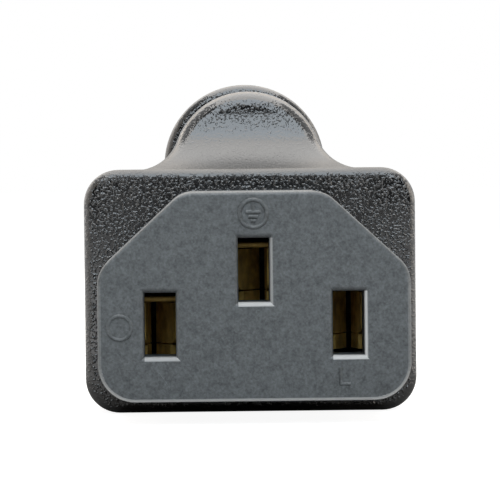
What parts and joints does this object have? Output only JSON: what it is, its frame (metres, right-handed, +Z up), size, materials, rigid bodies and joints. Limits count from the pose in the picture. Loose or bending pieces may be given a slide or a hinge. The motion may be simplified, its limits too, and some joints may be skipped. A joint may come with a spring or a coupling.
{
  "type": "power cord adapter",
  "caption": "One-piece moulded mains adapter: a grounded appliance connector at one end and a grounded wall plug at the other, with a ramped lobe over the ground pin.",
  "frame": {"origin": "on the resting plane, under the middle of the overall length and width", "axes": "+Z up with the ground pin at the top, +Y from the connector to the plug, +X to the right seen from the connector"},
  "size_m": [0.026, 0.0634, 0.026],
  "materials": {
    "black_pvc": "spark-eroded grain",
    "grey_nylon": "matte",
    "black_nylon": "satin",
    "sheet_brass": "dull, lightly tarnished",
    "nickel_plate": "bright nickel over brass"
  },
  "bodies": {
    "root": {"overmould_body": "black_pvc", "contact_carrier": "grey_nylon", "carrier_cap": "grey_nylon", "line_contact": "sheet_brass", "neutral_contact": "sheet_brass", "earth_contact": "sheet_brass", "line_link": "sheet_brass", "neutral_link": "sheet_brass", "earth_link": "sheet_brass", "blade_carrier": "black_nylon", "line_blade": "nickel_plate", "neutral_blade": "nickel_plate", "ground_pin": "nickel_plate"}
  },
  "joints": []
}
